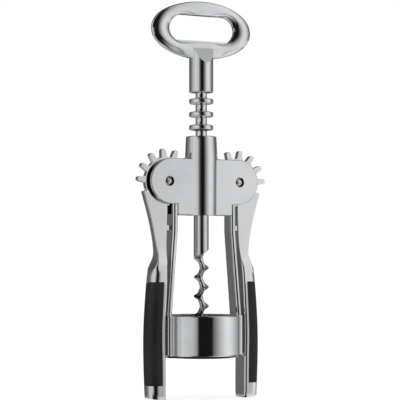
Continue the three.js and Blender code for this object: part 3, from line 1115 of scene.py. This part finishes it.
    def bores(self) -> Iterable[Solid]:
        """Shapes what is cut from the frame.

        Returns:
            The collar's bore, the bell's bore, the seat's hole, the wings' slots and the pins' holes.
        """
        top = LAYOUT.pivot_z + self.collar_height
        seat_bottom = self.bell_top - self.seat_thickness
        bore, socket = LAYOUT.ring_radius + LAYOUT.run_gap, self.bell_radius - self.bell_wall
        sweep, hole = LAYOUT.gear_tip + LAYOUT.run_gap, LAYOUT.pin_radius + LAYOUT.run_gap
        flare = self.collar_edge / 2
        yield Solid.turned([
            (0, self.block_bottom - self.cut_over), (bore + self.cut_over, self.block_bottom - self.cut_over),
            (bore, self.block_bottom + flare), (bore, top - flare),
            (bore + self.cut_over, top + self.cut_over), (0, top + self.cut_over),
        ], STEPS.round)
        yield Solid.turned([
            (0, self.bell_bottom - self.cut_over), (socket + self.cut_over, self.bell_bottom - self.cut_over),
            (socket, self.bell_bottom + flare), (socket, seat_bottom), (0, seat_bottom),
        ], STEPS.fine)
        yield Solid.turned([
            (0, seat_bottom - self.cut_over), (self.seat_radius, seat_bottom - self.cut_over),
            (self.seat_radius, self.bell_top - flare),
            (self.seat_radius + self.cut_over, self.bell_top + self.cut_over),
            (0, self.bell_top + self.cut_over),
        ], STEPS.round)
        for x in (-LAYOUT.pivot_x, LAYOUT.pivot_x):
            yield Solid.disc(sweep, self.slot_half, x, LAYOUT.pivot_z, STEPS.fine)
            yield Solid.disc(hole, self.cheek_half * 2, x, LAYOUT.pivot_z, STEPS.small)

    def casting(self) -> Solid:
        """The whole frame."""
        body = self.collar().join(self.cheeks(), self.leg(), self.leg().on_side(Side.RIGHT), self.bell())
        return body.cut(*self.bores())

    def pin(self) -> Solid:
        """Turns a pivot pin with a domed end at each side.

        Returns:
            The left pin.
        """
        crown = self.cheek_half - self.pin_recess
        shoulder = crown - self.pin_dome
        steps = STEPS.corner * 2
        dome = [
            (LAYOUT.pin_radius * math.sin(a), shoulder + self.pin_dome * math.cos(a))
            for a in (i / steps * QUARTER_TURN for i in range(steps + 1))
        ]
        profile = [(r, -h) for r, h in dome] + [(r, h) for r, h in reversed(dome)]
        lying = Matrix.Rotation(QUARTER_TURN, 4, "X")
        lying.translation = (-LAYOUT.pivot_x, 0, LAYOUT.pivot_z)
        return Solid.turned(profile, STEPS.small).moved(lying)

    def build(self, finishes: Finishes) -> None:
        """Makes the frame and its pins.

        Args:
            finishes: The opener's finishes.
        """
        self.casting().piece("frame_casting", finishes.chrome, "frame_body", "frame", "cast_chrome")
        for side in Side:
            node = f"pivot_pin_{side.name.lower()}"
            pin = self.pin().on_side(side)
            pin.piece(f"{node}_steel", finishes.pin_steel, "frame_body", node, "pin_steel")


@dataclass(frozen=True)
class Rack:
    """The row of rings that the wings' teeth push."""

    edge_height: float = 0.0022
    edge_round: float = 0.0006
    root_radius: float = 0.0028
    root_round: float = 0.0004
    bore_radius: float = 0.0019

    def sleeve(self) -> Solid:
        """Turns the rack from one closed profile.

        Returns:
            The rack with its bore.
        """
        rim, half = LAYOUT.ring_radius, self.edge_height / 2
        bore, root, low, high = self.bore_radius, self.root_radius, LAYOUT.rack_bottom, LAYOUT.rack_top
        profile: list[Corner] = [(bore, low, 0), (root, low, 0)]
        for i in reversed(range(LAYOUT.ring_count)):
            z = LAYOUT.top_ring - i * LAYOUT.ring_spacing
            profile += [
                (root, z - LAYOUT.root_height / 2, self.root_round), (rim, z - half, self.edge_round),
                (rim, z + half, self.edge_round), (root, z + LAYOUT.root_height / 2, self.root_round),
            ]
        profile += [(root, high, 0), (bore, high, 0)]
        points = filleted(profile)
        return Solid.turned([*points, points[0]], STEPS.round)

    def build(self, finishes: Finishes) -> None:
        """Makes the rack."""
        self.sleeve().piece("rack_rings", finishes.chrome, "rack", "rack_sleeve", "cast_chrome")


@dataclass(frozen=True)
class Spindle:
    """What turns together: the oval handle with its neck, and the worm with its shank and tang."""

    neck_radius: float = 0.00595
    neck_edge: float = 0.0006
    flat_rise: float = 0.0072
    oval_rise: float = 0.0088
    oval_half_length: float = 0.0274
    oval_half_height: float = 0.01415
    opening_half_length: float = 0.0178
    opening_half_height: float = 0.00674
    opening_lift: float = 0.00055
    bar_half: float = 0.0022
    end_half: float = 0.0023
    bar_plateau: float = 0.22
    end_plateau: float = 0.8
    bar_face_round: float = 0.06
    end_face_round: float = 0.0075
    outer_rim: float = 0.0009
    inner_rim: float = 0.0003
    rim_shares: Point = (0.12, 0.5)
    plain_radius: float = 2.0
    lip_half_length: float = 0.0158
    lip_half_depth: float = 0.0009
    lip_height: float = 0.001
    shank_radius: float = 0.0037
    shank_edge: float = 0.0003
    shank_slant: float = math.radians(28)
    worm_spacing: float = 0.00935
    worm_start: float = 0.0029
    worm_turns: float = 5.0
    worm_radius: float = 0.0037
    worm_inner: float = 0.0008
    worm_thickness: float = 0.0029
    worm_bluntness: float = 0.75
    worm_tip_turns: float = 1.2
    worm_tip_share: float = 0.06
    worm_steps: int = 48
    tang_radius: float = 0.0016
    tang_sink: float = 0.009
    join_depth: float = 0.001

    @property
    def oval_z(self) -> float:
        """Height of the oval's middle."""
        return LAYOUT.neck_top + self.oval_rise

    def opening_point(self, angle: float) -> Vector:
        """The rim of the opening in a direction from its middle: a slot with round ends.

        Args:
            angle: Angle of the oval's outer edge.

        Returns:
            The point in X and Z.
        """
        straight = self.opening_half_length - self.opening_half_height
        x, z = math.cos(angle) * self.oval_half_length, math.sin(angle) * self.oval_half_height
        if abs(x) * self.opening_half_height <= straight * abs(z):
            reach = self.opening_half_height / abs(z)
        else:
            square, half = x * x + z * z, abs(x) * straight
            rest = straight ** 2 - self.opening_half_height ** 2
            reach = (half + math.sqrt(half * half - square * rest)) / square
        return Vector((x * reach, z * reach + self.opening_lift))

    def oval(self) -> Solid:
        """Spins a plain ring and fits each of its points to the bar and the ends.

        Returns:
            The oval ring.
        """
        form = bmesh.new()
        place = Matrix.Translation((self.plain_radius, 0, 0))
        ring = bmesh.ops.create_circle(form, radius=1, segments=STEPS.section * 2, matrix=place)["verts"]
        bmesh.ops.spin(
            form, geom=ring + form.edges[:], axis=(0, 1, 0), cent=(0, 0, 0), angle=-FULL_TURN,
            steps=STEPS.fine, use_merge=True,
        )
        for vert in form.verts:
            turn = math.atan2(vert.co.y, math.hypot(vert.co.x, vert.co.z) - self.plain_radius)
            vert.co = self.oval_point(math.atan2(vert.co.z, vert.co.x), turn)
        return Solid(form)

    def oval_point(self, angle: float, turn: float) -> Vector:
        """Fits a point of a plain ring to the oval.

        Args:
            angle: Angle round the oval.
            turn: Angle round the ring's section, from its outer side.

        Returns:
            The point on the oval.
        """
        outer = Vector((math.cos(angle) * self.oval_half_length, math.sin(angle) * self.oval_half_height))
        inner = self.opening_point(angle)
        middle, across = (outer + inner) / 2, (outer - inner) / 2
        share = abs(outer.x) / self.oval_half_length
        rounding = smooth_step((share - self.bar_plateau) / (self.end_plateau - self.bar_plateau))
        half_depth = self.bar_half + (self.end_half - self.bar_half) * rounding
        face_round = 1 / (1 / self.bar_face_round * (1 - rounding) + 1 / self.end_face_round * rounding)
        out, depth = self.ring_section(turn, across.length, half_depth, face_round)
        spot = middle + across.normalized() * out
        return Vector((spot.x, depth, spot.y + self.oval_z))

    def ring_section(self, turn: float, half_width: float, half_depth: float, face_round: float) -> Point:
        """A point of the ring's section: crowned faces with tight rounded rims.

        Args:
            turn: Angle round the section, from its outer side.
            half_width: Half of its width.
            half_depth: Half of its depth at the crown.
            face_round: Radius of the crowned faces.

        Returns:
            How far outwards and how far back the point is.
        """
        rim = self.outer_rim if math.cos(turn) > 0 else self.inner_rim
        lean = math.asin((half_width - rim) / (face_round - rim))
        side = max(half_depth - face_round + (face_round - rim) * math.cos(lean), 0.0)
        share = math.atan2(abs(math.sin(turn)), abs(math.cos(turn))) / QUARTER_TURN
        straight, bent = self.rim_shares
        if share < straight:
            out, depth = half_width, side * share / straight
        elif share < bent:
            bend = (QUARTER_TURN - lean) * (share - straight) / (bent - straight)
            out, depth = half_width - rim + rim * math.cos(bend), side + rim * math.sin(bend)
        else:
            tilt = lean * (1 - share) / (1 - bent)
            out = face_round * math.sin(tilt)
            depth = side + rim * math.cos(lean) + face_round * (math.cos(tilt) - math.cos(lean))
        return math.copysign(out, math.cos(turn)), math.copysign(depth, math.sin(turn))

    def lip(self) -> Solid:
        """Shapes the thin lip along the bottom of the opening, which hooks under a crown cap.

        Returns:
            The lip.
        """
        floor = self.oval_z + self.opening_lift - self.opening_half_height
        low, high, half = floor - self.join_depth, floor + self.lip_height, self.lip_half_length
        return Solid.prism([(-half, low), (half, low), (half, high), (-half, high)], self.lip_half_depth)

    def neck(self) -> Solid:
        """Turns the neck and cuts its two slanted flats.

        Returns:
            The neck without its bore.
        """
        bottom, top = LAYOUT.neck_bottom, LAYOUT.neck_top
        body = Solid.turned(filleted([
            (0, bottom, 0), (self.neck_radius, bottom, self.neck_edge), (self.neck_radius, top, 0),
            (0, top, 0),
        ], closed=False), STEPS.round)
        for sign in (-1, 1):
            outward = Vector((0, sign * self.flat_rise, self.neck_radius - self.bar_half))
            body.sliced(Vector((0, sign * self.neck_radius, top - self.flat_rise)), outward)
        return body

    def handle(self) -> Solid:
        """Joins the handle and cuts the blind bore for the tang.

        Returns:
            The handle.
        """
        bore = Solid.rod(
            self.tang_radius + LAYOUT.seat_gap, LAYOUT.neck_bottom - self.join_depth,
            LAYOUT.neck_bottom + self.tang_sink + LAYOUT.seat_gap, STEPS.small,
        )
        return self.oval().join(self.lip(), self.neck()).cut(bore)

    def worm_section(self, turns: float, angle: float) -> Vector:
        """A point of the screw's skin.

        Args:
            turns: Turns from the screw's top.
            angle: Angle round the wire's section.

        Returns:
            The point, on a drop with its point outwards.
        """
        scale = max(min((self.worm_turns - turns) / self.worm_tip_turns, 1), self.worm_tip_share)
        tip = self.worm_radius * (self.worm_bluntness + (1 - self.worm_bluntness) * scale)
        length = (self.worm_radius + self.worm_inner) * scale
        widest_at = FULL_TURN / 3
        widest = math.sin(widest_at) * math.sin(widest_at / 2)
        x = tip - length * (1 - math.cos(angle)) / 2
        y = self.worm_thickness / 2 * scale * math.sin(angle) * abs(math.sin(angle / 2)) / widest
        spot = Matrix.Rotation(-turns * FULL_TURN, 3, "Z") @ Vector((x, y, 0))
        return spot + Vector((0, 0, LAYOUT.shank_bottom + self.worm_start - turns * self.worm_spacing))

    def worm(self) -> Solid:
        """Joins the screw, its shank with a slanted end, and the tang.

        Returns:
            The worm.
        """
        stations = [i / self.worm_steps for i in range(round(self.worm_turns * self.worm_steps) + 1)]
        screw = Solid.lofted(self.worm_section, stations, STEPS.section)
        low, high = LAYOUT.shank_bottom - self.shank_radius, LAYOUT.shank_top
        shank = Solid.turned(filleted([
            (0, low, 0), (self.shank_radius, low, 0), (self.shank_radius, high, self.shank_edge),
            (0, high, 0),
        ], closed=False), STEPS.round)
        outward = Vector((math.sin(self.shank_slant), 0, -math.cos(self.shank_slant)))
        shank.sliced(Vector((0, 0, LAYOUT.shank_bottom)), outward)
        shank.softened(self.shank_edge, lambda spot: spot.z < (low + high) / 2)
        tang_top = LAYOUT.neck_bottom + self.tang_sink
        return shank.join(Solid.rod(self.tang_radius, high - self.join_depth, tang_top, STEPS.small), screw)

    def build(self, finishes: Finishes) -> None:
        """Makes the handle and the worm."""
        self.handle().piece("handle_casting", finishes.chrome, "spindle", "handle", "cast_chrome")
        self.worm().piece("worm_screw", finishes.worm_steel, "spindle", "worm", "worm_steel")


@dataclass(frozen=True)
class Panel:
    """The painted reflections that a height of the reflection wall glows with: grey levels by azimuth in
    degrees.
    """

    top: float
    front: Table
    back: Table

    @property
    def stops(self) -> Table:
        """Pairs of place on the radial sweep and grey level."""
        return [((azimuth / 360 + SWEEP_FRONT) % 1, level) for azimuth, level in (*self.front, *self.back)]


@dataclass(frozen=True)
class Studio:
    """Floor, a wall and sheets of painted reflections, lamp, sky and camera."""

    distance: float = 0.833
    azimuth: float = math.radians(-28)
    eye_height: float = 0.0701
    aim_height: float = 0.09705
    aim_side: float = -0.0006
    lens: float = 153.0
    sensor: float = 36.0
    floor_radius: float = 6.0
    floor_colour: Colour = (0.9, 0.9, 0.9)
    floor_glow: float = 1.12
    floor_share: float = 0.7
    sky_glow: float = 0.9
    lamp_place: Place = (-0.7, -0.6, 1.2)
    lamp_aim: Place = (0, 0, 0.08)
    lamp_size: float = 0.8
    lamp_power: float = 6.0
    wall_radius: float = 1.25
    wall_bottom: float = -2.0
    wall_top: float = 3.2
    wall_blend: float = 0.016
    # A near-black glowing sheet under the floor that only reflections see: painted shadow under the opener.
    painted_shadow_height: float = -0.03
    painted_shadow_radius: float = 0.07
    painted_shadow_level: float = 0.01
    # A dark glowing sheet overhead that only reflections see: painted dark reflections on upward faces, while
    # the sky still lights them.
    painted_ceiling_level: float = 0.08
    # Painted shade on the floor's reflection: reflections don't see the white floor, and the wall below it
    # glows these greys instead.
    painted_floor_shade_front: Table = (
        (-124, 0.45), (-60, 0.3), (-30, 0.12), (10, 0.16), (40, 0.3), (60, 0.4), (110, 0.45),
    )
    painted_floor_shade_back: Table = ((145, 0.5), (180, 0.42), (208, 0.45), (224, 0.5))
    # Painted reflections: the grey levels that the wall glows with in each band of height, by azimuth in
    # degrees.
    low_front: Table = (
        (-124, 0.3), (-110, 0.57), (-82, 0.7), (-54, 0.6), (-41, 0.36), (-35, 0.01), (5, 0.01), (8, 0.12),
        (16, 0.26), (30, 0.54), (44, 0.78), (58, 0.9), (72, 0.82), (86, 0.65), (100, 0.46), (116, 0.34),
        (126, 0.12),
    )
    far_left: Table = ((-124, 0.32), (-110, 0.59), (-82, 0.75))
    high_left: Table = ((-54, 0.64), (-39, 0.12), (-29, 0.01))
    wide_left: Table = ((-66, 0.6), (-55, 0.08), (-48, 0.01))
    right: Table = (
        (-9, 0.01), (2, 0.17), (16, 0.5), (30, 0.79), (44, 0.88), (58, 0.77), (72, 0.52), (86, 0.2),
        (100, 0.1), (114, 0.2), (128, 0.36),
    )
    top_front: Table = (
        (-124, 0.2), (-82, 0.5), (-66, 0.4), (-55, 0.05), (-48, 0.01), (-9, 0.01), (2, 0.1), (16, 0.38),
        (30, 0.52), (58, 0.5), (86, 0.2), (128, 0.2),
    )
    back: Table = ((145, 0.12), (180, 0.09), (198, 0.1), (208, 0.15), (224, 0.22))

    @property
    def panels(self) -> Sequence[Panel]:
        """Fits the tables together.

        Returns:
            The panels, from the lowest up.
        """
        high = (*self.far_left, *self.high_left, *self.right)
        wide = (*self.far_left, *self.wide_left, *self.right)
        return (
            Panel(-0.9, self.painted_floor_shade_front, self.painted_floor_shade_back), Panel(-0.2, wide, self.painted_floor_shade_back),
            Panel(0.06, self.low_front, self.back), Panel(0.33, high, self.back), Panel(1.2, wide, self.back),
            Panel(self.wall_top, self.top_front, self.back),
        )

    def camera(self) -> None:
        """Places the camera at the photograph's angle."""
        data = bpy.data.cameras.new("camera")
        data.lens, data.sensor_width = self.lens, self.sensor
        made = bpy.data.objects.new("camera", data)
        back = Vector((math.sin(self.azimuth), -math.cos(self.azimuth), 0))
        right = Vector((math.cos(self.azimuth), math.sin(self.azimuth), 0))
        made.location = back * self.distance + Vector((0, 0, self.eye_height))
        aim = right * self.aim_side + Vector((0, 0, self.aim_height))
        made.rotation_euler = (aim - made.location).to_track_quat("-Z", "Y").to_euler()
        bpy.context.scene.collection.objects.link(made)
        bpy.context.scene.camera = made

    def staged(self, name: str, form: Form, material: Material) -> Object:
        """Makes something of the studio.

        Args:
            name: Its name.
            form: Its shape, which is freed here.
            material: Its material.

        Returns:
            The object.
        """
        mesh = bpy.data.meshes.new(name)
        form.to_mesh(mesh)
        form.free()
        mesh.materials.append(material)
        made = bpy.data.objects.new(name, mesh)
        bpy.context.scene.collection.objects.link(made)
        return made

    def mirrored(self, name: str, form: Form, material: Material) -> None:
        """Makes something of the studio that only reflections see.

        Args:
            name: Its name.
            form: Its shape, which is freed here.
            material: Its material, which lights nothing.
        """
        made = self.staged(name, form, material)
        made.visible_camera = made.visible_diffuse = made.visible_shadow = False
        made.visible_transmission = made.visible_volume_scatter = False
        material.cycles.emission_sampling = "NONE"

    def disc(self, radius: float, height: float) -> Form:
        """A level round sheet.

        Args:
            radius: Its radius.
            height: Its height.

        Returns:
            Its form.
        """
        form = bmesh.new()
        place = Matrix.Translation((0, 0, height))
        bmesh.ops.create_circle(form, cap_ends=True, radius=radius, segments=STEPS.fine, matrix=place)
        return form

    def seen(self, bench: Bench) -> Socket:
        """Tells looks from lighting.

        Args:
            bench: The bench of the nodes that need it.

        Returns:
            One for what the camera, a mirror or glass sees, nothing for the light that falls on things.
        """
        paths = bench.add("ShaderNodeLightPath").outputs
        direct = bench.maths("ADD", paths["Is Camera Ray"], paths["Is Glossy Ray"])
        return bench.maths("ADD", direct, paths["Is Transmission Ray"], clamp=True)

    def floor(self) -> None:
        """A white floor that keeps the opener's shadow."""
        material, bench = new_material("floor_white")
        share = bench.maths("MULTIPLY", self.seen(bench), self.floor_share)
        matt = bench.add("ShaderNodeBsdfDiffuse", {"Color": (*self.floor_colour, 1)}).outputs[0]
        lit = bench.add("ShaderNodeMixShader", {0: share, 1: matt, 2: bench.glow(1, self.floor_glow)})
        bench.surface(lit.outputs[0])
        self.staged("floor", self.disc(self.floor_radius, 0), material).visible_glossy = False

    def wall(self) -> None:
        """A ring of glowing grey panels that only reflections see: painted reflections in the chrome."""
        material, bench = new_material("painted_reflection_panels")
        place = bench.coordinates()
        sweep = bench.add("ShaderNodeTexGradient", {"Vector": place}, gradient_type="RADIAL").outputs["Fac"]
        height = bench.add("ShaderNodeSeparateXYZ", {0: place}).outputs["Z"]
        levels, top = None, 0.0
        for panel in self.panels:
            shown = bench.ramp(sweep, panel.stops)
            if levels:
                ends = (top - self.wall_blend, top + self.wall_blend)
                shown = bench.blend(bench.rise(height, ends, interpolation_type="SMOOTHSTEP"), levels, shown)
            levels, top = shown, panel.top
        bench.surface(bench.glow(levels))
        form = spun([(self.wall_radius, self.wall_bottom), (self.wall_radius, self.wall_top)], STEPS.fine)
        self.mirrored("wall", form, material)

    def sheet(self, name: str, height: float, radius: float, level: float) -> None:
        """A level grey sheet that glows at its grey level and only reflections see: a painted reflection.

        Args:
            name: Its name.
            height: Its height.
            radius: Its radius.
            level: Its grey level.
        """
        material, bench = new_material(f"{name}_grey")
        bench.surface(bench.glow(level))
        self.mirrored(name, self.disc(radius, height), material)

    def sky(self) -> None:
        """A white room: white where it is seen, plain soft light elsewhere."""
        world = bpy.data.worlds.new("white_room")
        world.use_nodes = True
        bench = Bench(world.node_tree)
        plain, white = (
            bench.add("ShaderNodeBackground", {"Color": (1, 1, 1, 1), "Strength": strength}).outputs[0]
            for strength in (self.sky_glow, 1.0)
        )
        both = bench.add("ShaderNodeMixShader", {0: self.seen(bench), 1: plain, 2: white})
        bench.add("ShaderNodeOutputWorld", {"Surface": both.outputs[0]})
        bpy.context.scene.world = world

    def lamp(self) -> None:
        """One soft lamp above and to the left, for a faint shadow."""
        data = bpy.data.lights.new("key", "AREA")
        data.shape, data.size, data.energy = "DISK", self.lamp_size, self.lamp_power
        made = bpy.data.objects.new("key", data)
        made.location = self.lamp_place
        made.rotation_euler = (Vector(self.lamp_aim) - made.location).to_track_quat("-Z", "Y").to_euler()
        made.visible_glossy = False
        bpy.context.scene.collection.objects.link(made)

    def build(self) -> None:
        """Sets up the studio."""
        bpy.context.scene.view_settings.view_transform = "Standard"
        self.camera()
        self.floor()
        self.wall()
        # Painted shadow under the opener, seen only in reflections.
        self.sheet("painted_shadow_sheet", self.painted_shadow_height, self.painted_shadow_radius, self.painted_shadow_level)
        # Painted dark reflections overhead.
        self.sheet("painted_reflection_ceiling", self.wall_top, self.wall_radius, self.painted_ceiling_level)
        self.sky()
        self.lamp()


def main() -> None:
    """Makes every piece and sets up the studio."""
    logging.basicConfig(level=logging.INFO, format="%(message)s")
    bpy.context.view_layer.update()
    Studio().build()
    finishes = Finishes()
    Frame().build(finishes)
    Rack().build(finishes)
    Spindle().build(finishes)
    for side in Side:
        Wing(side).build(finishes)


if __name__ == "__main__":
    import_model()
    main()
